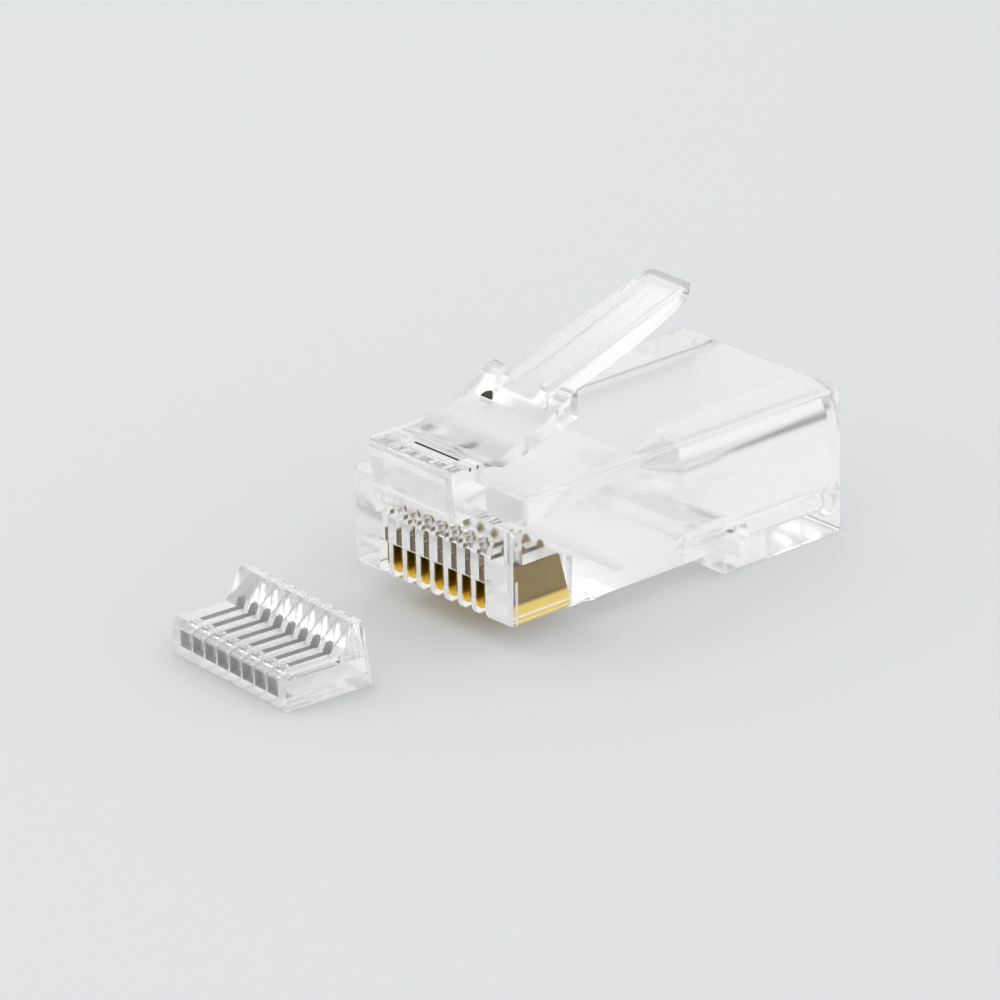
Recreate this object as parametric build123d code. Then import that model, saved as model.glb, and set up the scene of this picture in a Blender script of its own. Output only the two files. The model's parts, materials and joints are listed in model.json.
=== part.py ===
from build123d import *
import math
import os

# An eight-way modular plug for twisted-pair cable, not yet crimped, with its conductor guide
# lying in front of it. X runs across the width, +Y points out of the cable entry, +Z is up.
# The latch is on top. y = 0 is the front of the contact nose and z = 0 its contact side.
# All sizes are in millimetres.

# Body
body_width = 11.68
body_length = 22.0
body_height = 6.55
nose_height = 5.13
nose_length = 5.0
ledge_depth = 0.95
belly_lift = 0.18
belly_ramp = 0.8
heel_front = 14.1
heel_drop = 1.25
nose_round = 0.45
corner_round = 0.3
edge_round = 0.22

# Contacts and the slots that hold them
contact_count = 8
contact_pitch = 1.02
contact_thickness = 0.35
contact_length = 4.35
contact_front = 0.35
contact_low = 0.05
contact_plate = 2.5
contact_lean = 0.65
contact_corner = 0.55
tine_count = 2
tine_first = 2.28
tine_pitch = 1.14
tine_width = 0.55
tine_height = 0.75
contact_fit = 0.03
crimp_travel = 0.65
slot_width = 0.7
slot_mouth = 1.9
slot_wide_length = 1.25
slot_end_gap = 0.12

# Round bores in the nose that the conductors' ends run into
wire_bore = 0.9
wire_front = 0.6

# Conductor guide
guide_width = 9.3
guide_depth = 5.1
guide_base = 1.85
guide_height = 3.45
guide_base_depth = 3.2
guide_crest_front = 4.1
guide_crest = 0.55
guide_lip = 0.3
guide_bore = 0.86
guide_bore_floor = 0.56
guide_slit = 0.38
guide_slit_start = 0.95
guide_slit_bite = 0.3
guide_notch_start = 0.45
guide_notch_width = 0.55
guide_notch_length = 0.3
guide_notch_depth = 0.3
guide_eye_width = 0.6
guide_eye_rise = 0.4
guide_groove_width = 0.62
guide_groove_depth = 0.22
guide_place_x = -1.0
guide_place_y = -9.4
guide_turn = -4.0

# Chamber in the body that takes the guide, with a floor that leads the conductors up to it
guide_fit = 0.1
chamber_front = 1.2
chamber_floor = 2.95
lead_start = 3.5
lead_end = 7.4
roof_rise_start = 3.34
roof_rise_end = 8.9

# Cable cavity and its entry
cable_width = 9.6
cable_corner = 2.2
throat = 12.0
throat_corner = 0.15
roof_wall = 0.65
floor_wall = 0.63
heel_wall = 0.8
floor_slope = 0.9
entry_flare = 0.4

# Cable clamp, hinged in a window of the floor
clamp_width = 6.9
clamp_length = 3.35
clamp_pivot = 15.65
clamp_rise = 0.55
clamp_nose = 0.5
clamp_eye = 0.28
clamp_fit = 0.05

# Latch: root block on the body, living hinge, arm, ears and lever
root_width = 6.1
root_front = 1.42
root_lean = 0.17
root_back = 0.78
root_rise = 1.18
root_round = 0.35
pocket_width = 3.9
pocket_length = 1.15
pocket_depth = 0.22
slit_length = 3.4
slit_width = 0.16
slit_depth = 0.55
hinge_web = 0.3
hinge_fit = 0.02
web_length = 0.3
arm_flat = 1.05
arm_thickness = 0.9
arm_root_thickness = 0.57
arm_angle = 18.1
arm_length = 2.94
ramp_angle = 29.6
ramp_length = 1.8
recess_x = -1.4
recess_start = 0.1
recess_radius = 0.42
recess_depth = 0.4
ear_length = 0.35
ear_depth = 1.28
ear_gap = 0.4
ear_gap_length = 0.8
lever_width = 3.2
lever_length = 9.05
lever_angle = 15.9
lever_step = 0.04
lever_belly = 0.28
lever_round = 0.35
lever_tip = 0.72
tip_corner = 0.5
rim_width = 0.45
channel_depth = 0.55
channel_end_depth = 0.3
tip_lip = 0.65

# How near two places have to be to count as the same edge
touch = 0.02
# How far a cutter runs past the face that it opens
over = 0.5

contact_places = [(i - (contact_count - 1) / 2) * contact_pitch for i in range(contact_count)]
contact_rear = contact_front + contact_length
contact_shoulder = contact_low + contact_plate
chamber_roof = chamber_floor + guide_base + 2 * guide_fit
chamber_width = guide_width + 2 * guide_fit
wire_height = chamber_roof - guide_fit - guide_bore_floor - guide_bore / 2
cavity_roof = body_height - roof_wall
cavity_floor = belly_lift + floor_wall
heel_floor = heel_wall - heel_drop
slope_start = clamp_pivot + clamp_eye + clamp_fit
hinge_y = root_back + hinge_fit + hinge_web / 2
root_top = body_height + root_rise
hinge_z = root_top - hinge_web / 2
pivot_z = (belly_lift + cavity_floor) / 2


def side_face(*points):
    """A closed outline in the side view, given as (y, z) places."""
    return Plane.YZ * make_face(Polyline(*points, close=True))


def across(face, width):
    """The side outline drawn out equally to both sides of the middle."""
    return extrude(face, amount=width / 2, both=True)


def block(width, y0, y1, z0, z1, x=0.0):
    """A straight-sided cutter centred on x."""
    return Pos(x, (y0 + y1) / 2, (z0 + z1) / 2) * Box(width, y1 - y0, z1 - z0)


def cross_edges(shape, y, z):
    """The edges that run across the width at this place in the side view."""
    return shape.edges().filter_by(Axis.X).filter_by(
        lambda e: math.hypot(e.center().Y - y, e.center().Z - z) < touch
    )


def upright_edges(shape, y):
    """The upright edges at the two sides, at this distance from the front."""
    return shape.edges().filter_by(Axis.Z).filter_by(lambda e: abs(e.center().Y - y) < touch)


def outer_body():
    """The body's outside: nose, ledge, flat top, belly and the deeper heel."""
    body = across(
        side_face(
            (0, 0),
            (nose_length, 0),
            (nose_length + belly_ramp, belly_lift),
            (heel_front, belly_lift),
            (heel_front, -heel_drop),
            (body_length, -heel_drop),
            (body_length, body_height),
            (ledge_depth, body_height),
            (ledge_depth, nose_height),
            (0, nose_height),
        ),
        body_width,
    )
    uprights = upright_edges(body, 0) + upright_edges(body, ledge_depth)
    uprights += upright_edges(body, body_length)
    body = fillet(uprights, corner_round)
    body = fillet(cross_edges(body, 0, 0), nose_round)
    long_edges = body.edges().filter_by(Axis.Y)
    top_edges = long_edges.filter_by(lambda e: abs(e.center().Z - body_height) < touch)
    heel_edges = long_edges.filter_by(lambda e: abs(e.center().Z + heel_drop) < touch)
    return fillet(top_edges + heel_edges, edge_round)


def root_block():
    """The block in front of the body's top that the latch grows out of."""
    root = across(
        side_face(
            (-root_front + root_lean, nose_height),
            (-root_front, root_top),
            (root_back, root_top),
            (root_back, body_height),
            (ledge_depth + over, body_height),
            (ledge_depth + over, nose_height),
        ),
        root_width,
    )
    front_edges = root.faces().sort_by(Axis.Y)[0].edges().sort_by(Axis.Z)
    root = fillet(front_edges[1:], root_round)
    pocket_back = root_back - slit_width / 2
    pocket_front = pocket_back - pocket_length
    root -= block(pocket_width, pocket_front, pocket_back, root_top - pocket_depth, root_top + over)
    slit_back = pocket_back - slit_width / 2
    root -= block(slit_length, slit_back - slit_width, slit_back, root_top - slit_depth, root_top)
    return root


def contact_slot(x):
    """One slot: a wide mouth for a jack's wire, and a close part that grips the contact."""
    mouth = block(slot_width, -over, slot_wide_length, -over, slot_mouth, x)
    grip_width = contact_thickness + 2 * contact_fit
    start = contact_front - slot_end_gap
    grip_top = contact_shoulder + crimp_travel + slot_end_gap
    grip = block(grip_width, start, contact_rear + slot_end_gap, -over, grip_top, x)
    tine_top = grip_top + tine_height
    tines = block(grip_width, wire_front, chamber_front + touch, 0, tine_top, x)
    return mouth + grip + tines


def wire_way(x):
    """A round bore from the guide's chamber towards the front, over one contact."""
    length = chamber_front + touch - wire_front
    return Pos(x, wire_front + length / 2, wire_height) * Rot(90, 0, 0) * Cylinder(wire_bore / 2, length)


def guide_chamber():
    """The chamber for the conductor guide, its floor rising and its roof falling to the front."""
    return across(
        side_face(
            (chamber_front, chamber_floor),
            (lead_start, chamber_floor),
            (lead_end, cavity_floor),
            (roof_rise_end + touch, cavity_floor),
            (roof_rise_end + touch, cavity_roof),
            (roof_rise_end, cavity_roof),
            (roof_rise_start, chamber_roof),
            (chamber_front, chamber_roof),
        ),
        chamber_width,
    )


def entry_section(y, width, corner, grow=0.0):
    """The cable cavity's cross-section at y, with room added all round."""
    height = cavity_roof - heel_floor
    plane = Plane((0, y, (cavity_roof + heel_floor) / 2), x_dir=(1, 0, 0), z_dir=(0, 1, 0))
    return (plane * RectangleRounded(width + 2 * grow, height + 2 * grow, corner + grow)).face()


def cable_cavity():
    """The rounded passage for the cable's jacket, with its stepped floor and flared entry."""
    floor_line = across(
        side_face(
            (roof_rise_end, cavity_floor),
            (slope_start, cavity_floor),
            (slope_start + floor_slope, heel_floor),
            (body_length + over, heel_floor),
            (body_length + over, cavity_roof),
            (roof_rise_end, cavity_roof),
        ),
        cable_width,
    )
    narrow = entry_section(roof_rise_end, chamber_width, throat_corner)
    rounded = entry_section(throat, cable_width, cable_corner)
    passage = loft([narrow, rounded]) + extrude(rounded, amount=body_length - throat + over)
    flare_start = entry_section(body_length - entry_flare, cable_width, cable_corner)
    flare_end = entry_section(body_length, cable_width, cable_corner, entry_flare)
    return (floor_line & passage) + loft([flare_start, flare_end])


def clamp_window():
    """The opening in the floor that the cable clamp swings in."""
    front = clamp_pivot - clamp_length - 2 * clamp_fit
    width = clamp_width + 2 * clamp_fit
    return block(width, front, slope_start, -heel_drop - over, cavity_floor + touch)


def make_housing():
    housing = outer_body() + root_block()
    housing -= guide_chamber()
    housing -= cable_cavity()
    housing -= clamp_window()
    for x in contact_places:
        housing -= contact_slot(x)
        housing -= wire_way(x)
    return housing


def make_contact(x):
    """A flat blade with a rounded heel towards the jack and pointed tines above."""
    top_rear = contact_rear - contact_lean
    outline = [(contact_front, contact_low), (contact_rear, contact_low), (top_rear, contact_shoulder)]
    for i in reversed(range(tine_count)):
        middle = tine_first + i * tine_pitch
        outline.append((middle + tine_width / 2, contact_shoulder))
        outline.append((middle, contact_shoulder + tine_height))
        outline.append((middle - tine_width / 2, contact_shoulder))
    outline.append((contact_front, contact_shoulder))
    blade = across(side_face(*outline), contact_thickness)
    blade = fillet(cross_edges(blade, contact_front, contact_low), contact_corner)
    return Pos(x, 0, 0) * blade


def make_cable_clamp():
    """The wedge that crimping folds up into the cavity, hinged at its rear end."""
    front = clamp_pivot - clamp_length
    top = cavity_floor + clamp_rise
    side = side_face(
        (front, belly_lift),
        (clamp_pivot, pivot_z - clamp_eye),
        (clamp_pivot, pivot_z + clamp_eye),
        (front + clamp_nose, top),
        (front, top - clamp_nose),
    )
    wedge = across(side, clamp_width)
    eye = Pos(0, clamp_pivot, pivot_z) * Rot(0, 90, 0) * Cylinder(clamp_eye, clamp_width)
    return wedge + eye


def climb(angle, run):
    """How far a line at this angle climbs over a run."""
    return run * math.tan(math.radians(angle))


def make_latch():
    """The springy arm with its two catch ears and the long channelled lever."""
    flat_end = hinge_y + arm_flat
    knee_y = flat_end + arm_length * math.cos(math.radians(arm_angle))
    knee_z = root_top + arm_length * math.sin(math.radians(arm_angle))
    crest_y = knee_y + ramp_length
    crest_z = knee_z + climb(ramp_angle, ramp_length)
    catch_y = crest_y + ear_length
    catch_low = crest_z - ear_depth
    web_end = hinge_y + web_length
    arm_top = Polyline(
        (hinge_y, root_top), (flat_end, root_top), (knee_y, knee_z), (crest_y, crest_z), (catch_y, crest_z)
    )
    arm_under = Polyline(
        (catch_y, crest_z),
        (catch_y, catch_low),
        (knee_y - ramp_length / 2, knee_z - arm_thickness - climb(arm_angle, ramp_length / 2)),
        (flat_end, root_top - arm_root_thickness),
        (web_end, root_top - hinge_web),
        (hinge_y, root_top - hinge_web),
    )
    web_nose = ThreePointArc(
        (hinge_y, root_top - hinge_web), (hinge_y - hinge_web / 2, hinge_z), (hinge_y, root_top)
    )
    arm = across(Plane.YZ * make_face(arm_top + arm_under + web_nose), root_width)

    lever_y = crest_y - ear_length
    lever_z = crest_z + lever_step
    tip_y = catch_y + lever_length
    tip_z = lever_z + climb(lever_angle, tip_y - lever_y)
    middle_y = (catch_y + tip_y) / 2
    chord_z = (catch_low + tip_z - lever_tip) / 2
    lever_under = ThreePointArc(
        (catch_y, catch_low), (middle_y, chord_z - lever_belly), (tip_y, tip_z - lever_tip)
    )
    lever_over = Polyline(
        (tip_y, tip_z - lever_tip),
        (tip_y, tip_z),
        (lever_y, lever_z),
        (lever_y, catch_low),
        (catch_y, catch_low),
    )
    lever = across(Plane.YZ * make_face(lever_under + lever_over), lever_width)
    lever = fillet(upright_edges(lever, tip_y), tip_corner)
    arcs = lever.edges().filter_by(GeomType.CIRCLE)
    lever = fillet(arcs.filter_by(lambda e: e.length > lever_length / 2), lever_round)

    channel_y = knee_y + ramp_length / 2
    channel_z = lever_z + climb(lever_angle, channel_y - lever_y) - channel_depth
    lip_y = tip_y - tip_lip
    lip_z = tip_z - climb(lever_angle, tip_lip)
    channel = across(
        side_face(
            (channel_y, channel_z),
            (lip_y, lip_z - channel_end_depth),
            (lip_y, lip_z + lever_width),
            (channel_y, lip_z + lever_width),
        ),
        lever_width - 2 * rim_width,
    )
    latch = arm + lever - channel
    gap_x = lever_width / 2 + ear_gap / 2
    gap_start = catch_y - ear_gap_length
    for x in (-gap_x, gap_x):
        latch -= block(ear_gap, gap_start, catch_y + touch, catch_low - over, crest_z + over, x)

    # A half-round blind recess in the ramp, straight on its lower side
    recess_y = knee_y + recess_start
    recess_low = knee_z - recess_depth
    recess_high = knee_z + over
    round_part = Pos(recess_x, recess_y, (recess_low + recess_high) / 2)
    round_part *= Cylinder(recess_radius, recess_high - recess_low)
    recess_end = recess_y + recess_radius
    upper_half = block(2 * recess_radius, recess_y, recess_end, recess_low, recess_high, recess_x)
    return latch - (round_part & upper_half)


def make_load_bar():
    """The eight-way conductor guide, built square to itself and then laid down."""
    crest_back = guide_crest_front + guide_crest
    bar = across(
        side_face(
            (0, 0),
            (0, guide_base - guide_lip),
            (guide_lip, guide_base),
            (guide_base_depth, guide_base),
            (guide_crest_front, guide_height),
            (crest_back, guide_height),
            (guide_depth, 0),
        ),
        guide_width,
    )
    bore_top = guide_bore_floor + guide_bore
    notch_end = guide_notch_start + guide_notch_length
    notch_low = guide_base - guide_notch_depth
    slit_end = guide_base_depth + guide_slit_bite
    groove = across(
        side_face(
            (crest_back - guide_groove_depth, guide_height + touch),
            (crest_back + over, guide_height + touch),
            (guide_depth + over, bore_top),
            (guide_depth - guide_groove_depth, bore_top),
        ),
        guide_groove_width,
    )
    for x in contact_places:
        bar -= block(guide_bore, -over, guide_depth + over, guide_bore_floor, bore_top, x)
        bar -= block(guide_slit, guide_slit_start, slit_end, guide_bore_floor, guide_height, x)
        bar -= block(guide_notch_width, guide_notch_start, notch_end, notch_low, guide_base + over, x)
        bar -= block(guide_eye_width, guide_base_depth, slit_end, bore_top, guide_base + guide_eye_rise, x)
        bar -= Pos(x, 0, 0) * groove
    lie = Pos(guide_place_x, guide_place_y, -heel_drop) * Rot(0, 0, guide_turn)
    return lie * Pos(0, -guide_depth / 2, 0) * bar


pieces = {
    "housing": make_housing(),
    "latch": make_latch(),
    "cable_clamp": make_cable_clamp(),
    "load_bar": make_load_bar(),
}
for i, x in enumerate(contact_places):
    pieces[f"contact_{i + 1}"] = make_contact(x)

os.makedirs("parts", exist_ok=True)
for name, piece in pieces.items():
    export_step(piece, f"parts/{name}.step")
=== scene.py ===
import json
import math
import bmesh
import bpy
from bpy.props import FloatProperty, FloatVectorProperty, PointerProperty
from mathutils import Matrix, Vector

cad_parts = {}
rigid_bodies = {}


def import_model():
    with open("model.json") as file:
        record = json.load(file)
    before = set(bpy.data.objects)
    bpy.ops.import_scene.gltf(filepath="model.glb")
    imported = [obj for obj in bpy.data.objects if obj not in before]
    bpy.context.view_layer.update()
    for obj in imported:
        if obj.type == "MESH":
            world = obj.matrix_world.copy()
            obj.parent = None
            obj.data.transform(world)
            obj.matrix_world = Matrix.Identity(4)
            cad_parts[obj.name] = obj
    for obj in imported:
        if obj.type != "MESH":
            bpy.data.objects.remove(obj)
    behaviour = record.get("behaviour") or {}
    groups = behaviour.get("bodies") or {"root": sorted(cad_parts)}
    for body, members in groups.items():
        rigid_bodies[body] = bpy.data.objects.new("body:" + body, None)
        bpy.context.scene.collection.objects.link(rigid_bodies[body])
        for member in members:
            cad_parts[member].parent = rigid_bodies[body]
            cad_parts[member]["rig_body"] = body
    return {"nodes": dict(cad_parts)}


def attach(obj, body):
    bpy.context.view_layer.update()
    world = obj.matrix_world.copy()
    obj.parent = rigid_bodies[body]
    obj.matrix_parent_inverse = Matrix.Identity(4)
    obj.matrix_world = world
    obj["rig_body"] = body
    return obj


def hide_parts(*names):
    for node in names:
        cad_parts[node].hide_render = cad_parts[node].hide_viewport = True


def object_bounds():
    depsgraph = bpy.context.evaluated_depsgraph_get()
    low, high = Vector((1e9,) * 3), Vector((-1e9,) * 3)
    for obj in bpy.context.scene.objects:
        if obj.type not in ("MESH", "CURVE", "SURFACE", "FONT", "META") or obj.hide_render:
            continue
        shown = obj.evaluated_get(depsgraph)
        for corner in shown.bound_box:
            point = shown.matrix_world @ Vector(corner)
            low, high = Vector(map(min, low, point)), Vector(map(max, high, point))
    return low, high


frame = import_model()
cad_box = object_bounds()

bl_info = {
    "name": "Clear modular plug",
    "version": (1, 0, 0),
    "blender": (4, 5, 0),
    "location": "View3D > Sidebar > Plug",
    "description": "Dresses the packed modular plug in clear polycarbonate and gold plate",
    "category": "Object",
}

MM = 0.001
PHOTO_WIDTH = 1000
# Air under the plug, so that the floor does not wet the clear plastic
FLOOR_GAP = 0.02 * MM

# How strongly polycarbonate bends light
POLYCARBONATE_IOR = 1.585
# Share of a lamp's light that each face lets into the shadow, a little under the 0.95 of a perfect face
LIGHT_THROUGH_FACE = 0.93
# Pocket faces with painted shade: half matt, and passing less than a third of the light
SHADED_POCKET_ROUGHNESS = 0.6
SHADED_POCKET_CLARITY = 0.3
# The mould's real grain is finer than a pixel of the photograph, so it is drawn coarser and very faint
GRAIN_DEPTH = 0.02 * MM
GRAIN_STRENGTH = 0.05
GRAIN_DETAIL = 2.0
GRAIN_ROUGHNESS = 0.6

# Order of the clear plastics on a piece
MOULDED, SATIN, SHADED_POCKET, SHADED_GUIDE_SLIT, SHADED_GUIDE_BORE = range(5)

# Boxes in millimetres that hold the middles of faces with another finish or with painted shade.
# Faces under the cavity's roof, which the core pin leaves satin
ROOF_FACES = ((-4.85, 8.0, 3.7), (4.85, 21.9, 5.95))
# Walls of the conductors' bores in the nose, which long core pins leave satin
BORE_FACES = ((-4.4, 0.65, 2.9), (4.4, 3.4, 4.6))
# The lever's channel floor and belly, which are satin too
LEVER_FACES = ((-1.35, 6.3, 7.6), (1.35, 15.9, 12.5))
# Faces in the root block's slit and in the ramp's recess, which get painted shade
SLIT_FACES = ((-1.72, 0.44, 7.15), (1.72, 0.64, 7.5))
RECESS_FACES = ((-1.9, 4.95, 8.1), (-1.35, 5.4, 9.0))
# In the conductor guide's own frame: its slits, the eyes behind them and its bores, which get painted shade,
# and its crest's face
GUIDE_SLITS = ((-4.6, 1.0, 1.45), (4.6, 3.6, 1.84))
GUIDE_EYES = ((-4.6, 3.1, 1.45), (4.6, 3.6, 2.24))
GUIDE_BORES = ((-4.6, 1.0, 0.5), (4.6, 4.2, 1.44))
GUIDE_CREST = ((-4.6, 3.2, 1.86), (4.6, 4.0, 3.0))
# Larger faces than this in those boxes are outer walls, not pockets
POCKET_AREA = 5 * MM * MM

# Where the guide lies, how far it is turned, its depth from front to back, and how deep the painted shade in
# its bores reaches
GUIDE_PLACE = Vector((-1.0, -9.4, -1.25)) * MM
GUIDE_TURN = math.radians(-4.0)
GUIDE_DEPTH = 5.1 * MM
GUIDE_BORE_SHADE_REACH = 0.8 * MM

# For each clear piece: the finish or painted shade, the box of its faces, and the largest face that gets it
FINISHES_AND_SHADE = {
    "housing": (
        (SATIN, ROOF_FACES, math.inf),
        (SATIN, BORE_FACES, POCKET_AREA),
        (SHADED_POCKET, SLIT_FACES, math.inf),
    ),
    "latch": (
        (SATIN, LEVER_FACES, math.inf),
        (SHADED_POCKET, RECESS_FACES, math.inf),
    ),
    "cable_clamp": (),
    "load_bar": (
        (SATIN, GUIDE_CREST, math.inf),
        (SHADED_GUIDE_SLIT, GUIDE_SLITS, POCKET_AREA),
        (SHADED_GUIDE_SLIT, GUIDE_EYES, POCKET_AREA),
        (SHADED_GUIDE_BORE, GUIDE_BORES, POCKET_AREA),
    ),
}

# Welding and flattening of the CAD meshes, the sharpest bend that stays unrounded, and steps in a rounding
WELD = 0.0005 * MM
FLAT_ANGLE = math.radians(0.5)
SHARP_ANGLE = math.radians(38)
ROUND_STEPS = 2

# Brightness of the floor and of the sky as the clear plastic and the metal see them, where 1 is white.
# The sky pales from the horizon up to 30 degrees, whose sine is SKY_CLIMB, and lights all else evenly.
FLOOR_SEEN = 0.86
SKY_HORIZON = 0.2
SKY_ABOVE = 0.95
SKY_CLIMB = 0.5
SKY_LIGHT = 0.88

# Softboxes: place in metres, width in metres and power in watts
LAMPS = {
    "right": ((0.4, -0.1, 0.35), 0.4, 0.25),
    "left": ((-0.35, -0.05, 0.35), 0.16, 0.25),
}
LAMP_AIM = (0, 0.01, 0.005)

# The camera's sensor in millimetres, and the nearest and farthest that it sees, in metres
SENSOR_WIDTH = 36
NEAREST = 0.01
FARTHEST = 10

# Bounces that light needs inside the clear plastic before it comes out again
CLEAR_BOUNCES = 64
SHADOW_BOUNCES = 32


def linear(hex_colour):
    """A hex sRGB colour as linear red, green and blue."""
    digits = hex_colour.lstrip("#")
    channels = [int(digits[i:i + 2], 16) / 255 for i in (0, 2, 4)]
    return tuple(c / 12.92 if c <= 0.04045 else ((c + 0.055) / 1.055) ** 2.4 for c in channels)


class ClearPlasticSettings(bpy.types.PropertyGroup):
    """The clear plastic of the housing, latch, clamp and conductor guide."""

    tint: FloatVectorProperty(
        name="Tint",
        description="Colour that the plastic gives to light that passes it",
        subtype="COLOR",
        default=linear("#FFFFFF"),
    )
    roughness: FloatProperty(
        name="Roughness",
        description="Roughness of the moulded face",
        subtype="FACTOR",
        default=0.1,
    )
    satin: FloatProperty(
        name="Satin roughness",
        description="Roughness of the faces that core pins leave",
        subtype="FACTOR",
        default=0.22,
    )
    clarity: FloatProperty(
        name="Clarity",
        description="Share of the light that passes instead of scattering in the haze",
        subtype="FACTOR",
        default=1.0,
    )
    grain: FloatProperty(
        name="Grain",
        description="Spacing of the mould's faint grain, coarser than the real one so that it shows",
        unit="LENGTH",
        default=0.12 * MM,
    )
    edge_round: FloatProperty(
        name="Edge round",
        description="Radius that the mould leaves on every sharp edge",
        unit="LENGTH",
        default=0.05 * MM,
    )
    body_round: FloatProperty(
        name="Body edge round",
        description="Radius on the sharp edges of the housing",
        unit="LENGTH",
        default=0.09 * MM,
    )
    # Painted shade in the plug's slit and recess
    dark: FloatVectorProperty(
        name="Shaded",
        description="Colour that the rough pockets of the plug turn to",
        subtype="COLOR",
        default=linear("#2E3022"),
    )
    # Painted shade in the conductor guide's slits, eyes and bore mouths
    grey: FloatVectorProperty(
        name="Eroded guide",
        description="Colour that the rough pockets of the conductor guide turn to",
        subtype="COLOR",
        default=linear("#B4B4B1"),
    )


class ContactSettings(bpy.types.PropertyGroup):
    """The plated blades."""

    # Partly painted light: the bright gold edge carries a painted highlight, and the dark olive bronze above
    # it carries painted shade
    gold: FloatVectorProperty(
        name="Gold",
        description="Colour of the plating",
        subtype="COLOR",
        default=linear("#FFDD6A"),
    )
    bronze: FloatVectorProperty(
        name="Bronze",
        description="Colour of the thinly plated bronze above the working edge",
        subtype="COLOR",
        default=linear("#866D00"),
    )
    # Height of the bright edge: the thick gold, with its painted highlight
    highlight_plate_height: FloatProperty(
        name="Plate height",
        description="Height up to which the gold is thick",
        unit="LENGTH",
        default=0.62 * MM,
    )
    highlight_plate_blend: FloatProperty(
        name="Plate blend",
        description="Height over which the thick gold thins out, to each side",
        unit="LENGTH",
        default=0.1 * MM,
    )
    roughness: FloatProperty(
        name="Roughness",
        description="Roughness of the plated face",
        subtype="FACTOR",
        default=0.28,
    )
    edge_round: FloatProperty(
        name="Edge round",
        description="Radius that stamping and plating leave on a blade's edges",
        unit="LENGTH",
        default=0.03 * MM,
    )


class StageSettings(bpy.types.PropertyGroup):
    """Floor and camera."""

    floor_colour: FloatVectorProperty(
        name="Floor",
        description="Colour of the floor",
        subtype="COLOR",
        default=linear("#E1E3E5"),
    )
    floor_size: FloatProperty(
        name="Floor size",
        description="Width of the floor",
        unit="LENGTH",
        default=3.0,
    )
    azimuth: FloatProperty(
        name="Azimuth",
        description="Turn of the camera round the plug, from straight in front of the nose",
        subtype="ANGLE",
        default=math.radians(49.04),
    )
    elevation: FloatProperty(
        name="Elevation",
        description="Height of the camera above the horizon",
        subtype="ANGLE",
        default=math.radians(22.67),
    )
    roll: FloatProperty(
        name="Roll",
        description="Tilt of the camera round its own line of sight",
        subtype="ANGLE",
        default=math.radians(-1.18),
    )
    distance: FloatProperty(
        name="Distance",
        description="From the camera to the point that it looks at",
        unit="LENGTH",
        default=0.42,
    )
    focal_pixels: FloatProperty(
        name="Focal length in pixels",
        description="Focal length as a count of the photograph's pixels",
        default=8400.0,
    )
    aim: FloatVectorProperty(
        name="Aim",
        description="Point that the camera looks at",
        subtype="TRANSLATION",
        default=(-6.37 * MM, 10 * MM, 0.3 * MM),
    )


def add_node(tree, kind, values=None, links=None, **settings):
    """Adds a node of this kind, sets its sockets and properties, and links its inputs.

    A socket goes by its name or its index.
    """
    node = tree.nodes.new(kind)
    for name, value in settings.items():
        setattr(node, name, value)
    sockets = {socket.name: socket for socket in reversed(node.inputs) if socket.enabled}
    sockets.update(enumerate(node.inputs))
    for socket, value in (values or {}).items():
        sockets[socket].default_value = value
    for socket, source in (links or {}).items():
        tree.links.new(source, sockets[socket])
    return node


def new_material(name):
    """An empty node material with its output node."""
    material = bpy.data.materials.new(name)
    material.use_nodes = True
    material.node_tree.nodes.clear()
    output = add_node(material.node_tree, "ShaderNodeOutputMaterial")
    return material, material.node_tree, output


def seen_through(tree):
    """The share of rays that reach the floor or the sky by way of the metal or the clear plastic."""
    path = add_node(tree, "ShaderNodeLightPath")
    seen = add_node(
        tree,
        "ShaderNodeMath",
        links={0: path.outputs["Is Glossy Ray"], 1: path.outputs["Is Transmission Ray"]},
        operation="MAXIMUM",
    )
    return seen.outputs["Value"]


def polycarbonate(name, roughness, settings):
    """Clear injection-moulded polycarbonate."""
    # It bends light strongly, so walls show bright and grey rims, and the mould's grain breaks the gloss
    tree, output = new_material(name)[1:]
    place = add_node(tree, "ShaderNodeTexCoord")
    grain = add_node(
        tree,
        "ShaderNodeTexNoise",
        {"Scale": 1 / settings.grain, "Detail": GRAIN_DETAIL, "Roughness": GRAIN_ROUGHNESS},
        {"Vector": place.outputs["Object"]},
    )
    bump = add_node(
        tree,
        "ShaderNodeBump",
        {"Strength": GRAIN_STRENGTH, "Distance": GRAIN_DEPTH},
        {"Height": grain.outputs["Fac"]},
    )
    plastic = add_node(
        tree,
        "ShaderNodeBsdfPrincipled",
        {
            "Base Color": (*settings.tint, 1),
            "Roughness": roughness,
            "IOR": POLYCARBONATE_IOR,
            "Transmission Weight": settings.clarity,
        },
        {"Normal": bump.outputs["Normal"]},
    )
    # Lamps shine through it, so that its shadow is as pale as a clear part's
    path = add_node(tree, "ShaderNodeLightPath")
    light_through = add_node(tree, "ShaderNodeBsdfTransparent", {"Color": (*[LIGHT_THROUGH_FACE] * 3, 1)})
    surface = add_node(
        tree,
        "ShaderNodeMixShader",
        links={
            0: path.outputs["Is Shadow Ray"],
            1: plastic.outputs["BSDF"],
            2: light_through.outputs["BSDF"],
        },
    )
    tree.links.new(surface.outputs["Shader"], output.inputs["Surface"])


def guide_fade(tree, reach):
    """Climbs from 0 to 1 over the second half of this reach behind the conductor guide's front."""
    depth_axis = (-math.sin(GUIDE_TURN), math.cos(GUIDE_TURN), 0)
    front = GUIDE_PLACE.dot(Vector(depth_axis)) - GUIDE_DEPTH / 2
    place = add_node(tree, "ShaderNodeTexCoord")
    depth = add_node(
        tree,
        "ShaderNodeVectorMath",
        {1: depth_axis},
        {0: place.outputs["Object"]},
        operation="DOT_PRODUCT",
    )
    fade = add_node(
        tree,
        "ShaderNodeMapRange",
        {"From Min": front + reach / 2, "From Max": front + reach},
        {"Value": depth.outputs["Value"]},
    )
    return fade.outputs["Result"]


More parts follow.
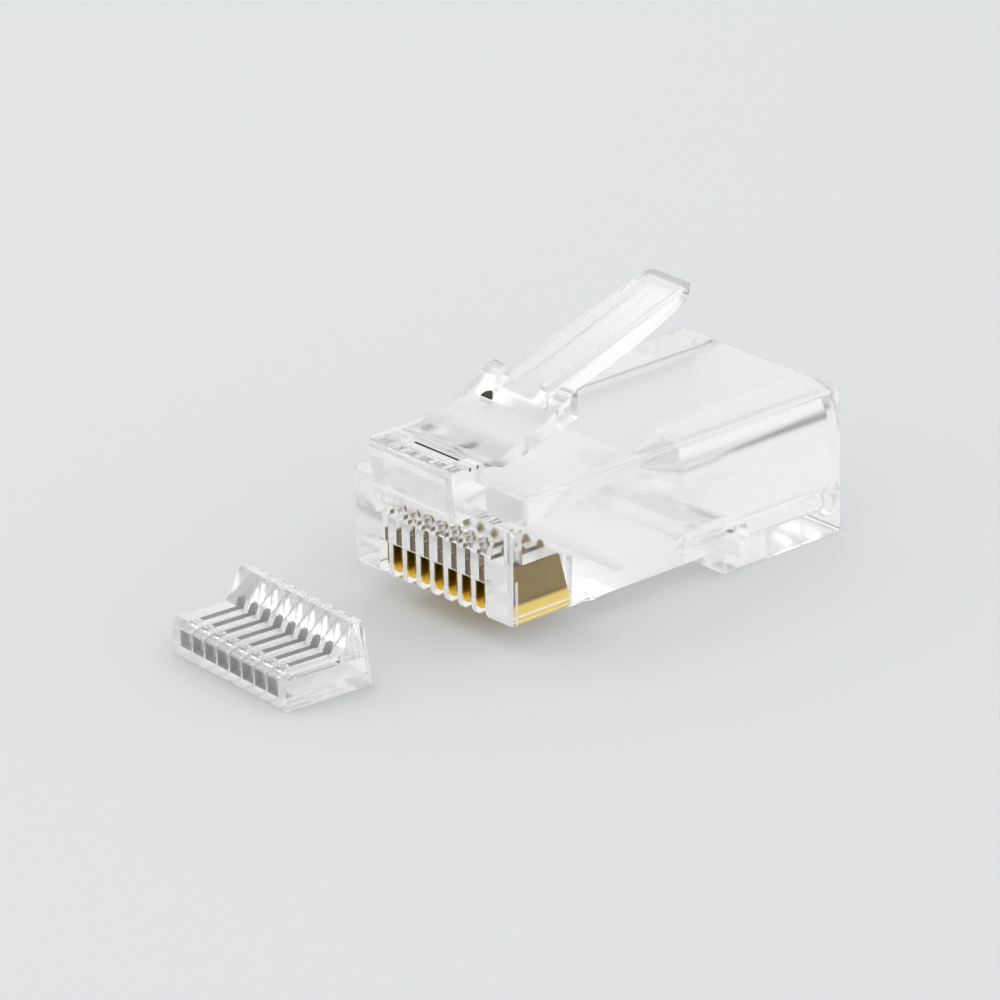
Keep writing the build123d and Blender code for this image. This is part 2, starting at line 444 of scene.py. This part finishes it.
def painted_shade_polycarbonate(name, colour, settings, reach=None):
    """Polycarbonate with painted shade on pocket faces; with a reach the painted shade fades to clear behind
    the guide's front.
    """
    # Painted shade: the pocket's faces look dark from the air, and clear from inside the plastic
    tree, output = new_material(name)[1:]
    # The painted shade: dark, half matt and passing little light
    rough = add_node(
        tree,
        "ShaderNodeBsdfPrincipled",
        {
            "Base Color": (*colour, 1),
            "Roughness": SHADED_POCKET_ROUGHNESS,
            "IOR": POLYCARBONATE_IOR,
            "Transmission Weight": SHADED_POCKET_CLARITY,
        },
    )
    clear = add_node(
        tree,
        "ShaderNodeBsdfPrincipled",
        {
            "Base Color": (*settings.tint, 1),
            "Roughness": settings.satin,
            "IOR": POLYCARBONATE_IOR,
            "Transmission Weight": settings.clarity,
        },
    )
    side = add_node(tree, "ShaderNodeNewGeometry")
    clear_share = side.outputs["Backfacing"]
    if reach:
        either = add_node(
            tree,
            "ShaderNodeMath",
            links={0: side.outputs["Backfacing"], 1: guide_fade(tree, reach)},
            operation="MAXIMUM",
        )
        clear_share = either.outputs["Value"]
    surface = add_node(
        tree,
        "ShaderNodeMixShader",
        links={0: clear_share, 1: rough.outputs["BSDF"], 2: clear.outputs["BSDF"]},
    )
    tree.links.new(surface.outputs["Shader"], output.inputs["Surface"])


def gold_plated_bronze(settings):
    """Stamped phosphor bronze with gold plate."""
    # The plate is thick along the working edge, and its bright yellow there is also a painted highlight; the
    # olive above it is partly painted shade, standing in for the dark surroundings it reflects
    tree, output = new_material("gold_plated_bronze")[1:]
    place = add_node(tree, "ShaderNodeTexCoord")
    height = add_node(tree, "ShaderNodeSeparateXYZ", links={"Vector": place.outputs["Object"]})
    edge = add_node(
        tree,
        "ShaderNodeMapRange",
        {
            "From Min": settings.highlight_plate_height + settings.highlight_plate_blend,
            "From Max": settings.highlight_plate_height - settings.highlight_plate_blend,
        },
        {"Value": height.outputs["Z"]},
    )
    colour = add_node(
        tree,
        "ShaderNodeMix",
        {"A": (*settings.bronze, 1), "B": (*settings.gold, 1)},
        {"Factor": edge.outputs["Result"]},
        data_type="RGBA",
    )
    # The colour output is the third: the first two are for numbers and vectors
    gold = add_node(
        tree,
        "ShaderNodeBsdfPrincipled",
        {"Roughness": settings.roughness, "Metallic": 1.0},
        {"Base Color": colour.outputs[2]},
    )
    tree.links.new(gold.outputs["BSDF"], output.inputs["Surface"])


def floor_paper(settings):
    """Matt card, which the plug's own reflections and clear walls see a little paler."""
    material, tree, output = new_material("floor_paper")
    paper = add_node(tree, "ShaderNodeBsdfDiffuse", {"Color": (*settings.floor_colour, 1)})
    glow = add_node(tree, "ShaderNodeEmission", {"Color": (1, 1, 1, 1), "Strength": FLOOR_SEEN})
    surface = add_node(
        tree,
        "ShaderNodeMixShader",
        links={0: seen_through(tree), 1: paper.outputs["BSDF"], 2: glow.outputs["Emission"]},
    )
    tree.links.new(surface.outputs["Shader"], output.inputs["Surface"])
    return material


def softened_copy(node, name, radius):
    """A copy of a CAD node that stands for it, with flat faces joined up and every sharp edge rounded."""
    source = frame["nodes"][node]
    mesh = source.data.copy()
    mesh.name = name
    mesh.materials.clear()
    shape = bmesh.new()
    shape.from_mesh(mesh)
    bmesh.ops.remove_doubles(shape, verts=shape.verts, dist=WELD)
    bmesh.ops.dissolve_limit(
        shape,
        angle_limit=FLAT_ANGLE,
        use_dissolve_boundaries=False,
        verts=shape.verts,
        edges=shape.edges,
        delimit=set(),
    )
    shape.to_mesh(mesh)
    shape.free()
    if mesh.has_custom_normals:
        mesh.normals_split_custom_set([(0, 0, 0)] * len(mesh.loops))
    mesh.polygons.foreach_set("use_smooth", [True] * len(mesh.polygons))
    piece = bpy.data.objects.new(name, mesh)
    bpy.context.scene.collection.objects.link(piece)
    bevel = piece.modifiers.new("edge_round", "BEVEL")
    bevel.width = radius
    bevel.segments = ROUND_STEPS
    bevel.limit_method = "ANGLE"
    bevel.angle_limit = SHARP_ANGLE
    bevel.use_clamp_overlap = True
    bevel.harden_normals = False
    flat = piece.modifiers.new("flat_faces", "WEIGHTED_NORMAL")
    flat.mode = "FACE_AREA"
    flat.keep_sharp = True
    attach(piece, source["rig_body"])
    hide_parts(node)
    return piece


def mark_faces(piece, finish, box, largest, own):
    """Gives this finish or painted shade to the smaller faces whose middles lie in the box, seen in the
    piece's own frame.
    """
    low, high = box
    for face in piece.data.polygons:
        middle = own @ face.center
        if face.area < largest and all(low[i] * MM < middle[i] < high[i] * MM for i in range(3)):
            face.material_index = finish


def guide_frame():
    """From the shared frame to the conductor guide's own, which starts at the middle of its front edge."""
    return (
        Matrix.Translation((0, GUIDE_DEPTH / 2, 0))
        @ Matrix.Rotation(-GUIDE_TURN, 4, "Z")
        @ Matrix.Translation(-GUIDE_PLACE)
    )


def material_named(name):
    """A material that an earlier operator made."""
    material = bpy.data.materials.get(name)
    if material is None:
        raise RuntimeError(f"make the material {name} first")
    return material


class PLUG_OT_materials(bpy.types.Operator):
    """Make the clear plastics and the gold plate."""

    bl_idname = "plug.materials"
    bl_label = "Materials"

    def execute(self, context):
        settings = context.scene.plug_plastic
        polycarbonate("moulded_polycarbonate", settings.roughness, settings)
        polycarbonate("satin_polycarbonate", settings.satin, settings)
        painted_shade_polycarbonate("painted_shade_polycarbonate", settings.dark, settings)
        painted_shade_polycarbonate("painted_shade_slit_polycarbonate", settings.grey, settings)
        painted_shade_polycarbonate("painted_shade_bore_polycarbonate", settings.grey, settings, GUIDE_BORE_SHADE_REACH)
        gold_plated_bronze(context.scene.plug_contacts)
        return {"FINISHED"}


class PLUG_OT_clear_parts(bpy.types.Operator):
    """Dress the housing, latch, cable clamp and conductor guide."""

    bl_idname = "plug.clear_parts"
    bl_label = "Clear parts"

    def execute(self, context):
        settings = context.scene.plug_plastic
        for node, finishes in FINISHES_AND_SHADE.items():
            radius = settings.body_round if node == "housing" else settings.edge_round
            own = guide_frame() if node == "load_bar" else Matrix.Identity(4)
            piece = softened_copy(node, f"clear_{node}", radius)
            piece.data.materials.append(material_named("moulded_polycarbonate"))
            piece.data.materials.append(material_named("satin_polycarbonate"))
            piece.data.materials.append(material_named("painted_shade_polycarbonate"))
            if node == "load_bar":
                piece.data.materials.append(material_named("painted_shade_slit_polycarbonate"))
                piece.data.materials.append(material_named("painted_shade_bore_polycarbonate"))
            for finish, box, largest in finishes:
                mark_faces(piece, finish, box, largest, own)
        return {"FINISHED"}


class PLUG_OT_contacts(bpy.types.Operator):
    """Dress the eight plated contact blades."""

    bl_idname = "plug.contacts"
    bl_label = "Contacts"

    def execute(self, context):
        settings = context.scene.plug_contacts
        for node in sorted(n for n in frame["nodes"] if n.startswith("contact_")):
            piece = softened_copy(node, f"plated_{node}", settings.edge_round)
            piece.data.materials.append(material_named("gold_plated_bronze"))
        return {"FINISHED"}


def studio_floor(settings):
    """A wide flat floor just under the plug."""
    half = settings.floor_size / 2
    height = cad_box[0].z - FLOOR_GAP
    corners = [(x, y, height) for x, y in ((-half, -half), (half, -half), (half, half), (-half, half))]
    mesh = bpy.data.meshes.new("floor")
    mesh.from_pydata(corners, [], [(0, 1, 2, 3)])
    mesh.materials.append(floor_paper(settings))
    floor = bpy.data.objects.new("floor", mesh)
    bpy.context.scene.collection.objects.link(floor)


def studio_sky():
    """An even white sky, which the plastic and the metal see darker towards the horizon."""
    world = bpy.data.worlds.new("studio")
    world.use_nodes = True
    sky = world.node_tree
    direction = add_node(sky, "ShaderNodeTexCoord")
    up = add_node(sky, "ShaderNodeSeparateXYZ", links={"Vector": direction.outputs["Generated"]})
    climb = add_node(
        sky,
        "ShaderNodeMapRange",
        {"From Min": 0.0, "From Max": SKY_CLIMB, "To Min": SKY_HORIZON, "To Max": SKY_ABOVE},
        {"Value": up.outputs["Z"]},
        interpolation_type="SMOOTHSTEP",
    )
    strength = add_node(
        sky,
        "ShaderNodeMix",
        {"A": SKY_LIGHT},
        {"Factor": seen_through(sky), "B": climb.outputs["Result"]},
    )
    background = sky.nodes["Background"]
    background.inputs["Color"].default_value = (1, 1, 1, 1)
    sky.links.new(strength.outputs["Result"], background.inputs["Strength"])
    bpy.context.scene.world = world


def softbox(name, place, width, power):
    """A square softbox at this place, turned to the plug."""
    light = bpy.data.lights.new(name, "AREA")
    light.shape = "SQUARE"
    light.size = width
    light.energy = power
    lamp = bpy.data.objects.new(name, light)
    lamp.location = place
    lamp.rotation_mode = "QUATERNION"
    lamp.rotation_quaternion = (Vector(LAMP_AIM) - Vector(place)).to_track_quat("-Z", "Y")
    bpy.context.scene.collection.objects.link(lamp)


def photo_camera(settings):
    """A long lens at the photograph's angle, with the photograph's slight roll."""
    cos_up = math.cos(settings.elevation)
    back = Vector((
        cos_up * math.sin(settings.azimuth),
        -cos_up * math.cos(settings.azimuth),
        math.sin(settings.elevation),
    ))
    right = Vector((math.cos(settings.azimuth), math.sin(settings.azimuth), 0))
    up = back.cross(right)
    turned_right = right * math.cos(settings.roll) + up * math.sin(settings.roll)
    turned_up = up * math.cos(settings.roll) - right * math.sin(settings.roll)
    spot = Vector(settings.aim) + back * settings.distance
    lens = bpy.data.cameras.new("photo_camera")
    lens.sensor_width = SENSOR_WIDTH
    lens.lens = settings.focal_pixels / PHOTO_WIDTH * SENSOR_WIDTH
    lens.clip_start = NEAREST
    lens.clip_end = FARTHEST
    camera = bpy.data.objects.new("photo_camera", lens)
    columns = (turned_right, turned_up, back, spot)
    camera.matrix_world = Matrix([[column[i] for column in columns] for i in range(3)] + [(0, 0, 0, 1)])
    bpy.context.scene.collection.objects.link(camera)
    bpy.context.scene.camera = camera


class PLUG_OT_stage(bpy.types.Operator):
    """Build the floor, the sky, the lamps and the camera."""

    bl_idname = "plug.stage"
    bl_label = "Stage"

    def execute(self, context):
        studio_floor(context.scene.plug_stage)
        studio_sky()
        for name, (place, width, power) in LAMPS.items():
            softbox(name, place, width, power)
        photo_camera(context.scene.plug_stage)
        context.scene.view_settings.view_transform = "Standard"
        cycles = context.scene.cycles
        cycles.max_bounces = CLEAR_BOUNCES
        cycles.glossy_bounces = CLEAR_BOUNCES
        cycles.transmission_bounces = CLEAR_BOUNCES
        cycles.transparent_max_bounces = SHADOW_BOUNCES
        return {"FINISHED"}


class PLUG_PT_panel(bpy.types.Panel):
    """Lists the plug's operators and settings."""

    bl_idname = "PLUG_PT_panel"
    bl_label = "Plug"
    bl_space_type = "VIEW_3D"
    bl_region_type = "UI"
    bl_category = "Plug"

    def draw(self, context):
        for step in STEPS:
            self.layout.operator(step.bl_idname)
        for name, kind in SETTINGS.items():
            for value in kind.__annotations__:
                self.layout.prop(getattr(context.scene, name), value)


STEPS = (PLUG_OT_materials, PLUG_OT_clear_parts, PLUG_OT_contacts, PLUG_OT_stage)
SETTINGS = {
    "plug_plastic": ClearPlasticSettings,
    "plug_contacts": ContactSettings,
    "plug_stage": StageSettings,
}


def register():
    """Registers the classes and hangs the settings on the scene."""
    for kind in (*SETTINGS.values(), *STEPS, PLUG_PT_panel):
        bpy.utils.register_class(kind)
    for name, kind in SETTINGS.items():
        setattr(bpy.types.Scene, name, PointerProperty(type=kind))


def unregister():
    """Takes the settings and the classes away again."""
    for name in SETTINGS:
        delattr(bpy.types.Scene, name)
    for kind in reversed((*SETTINGS.values(), *STEPS, PLUG_PT_panel)):
        bpy.utils.unregister_class(kind)


def main():
    """Builds the plug and its stage."""
    register()
    bpy.ops.plug.materials()
    bpy.ops.plug.clear_parts()
    bpy.ops.plug.contacts()
    bpy.ops.plug.stage()
    bpy.context.view_layer.update()


if __name__ == "__main__":
    main()
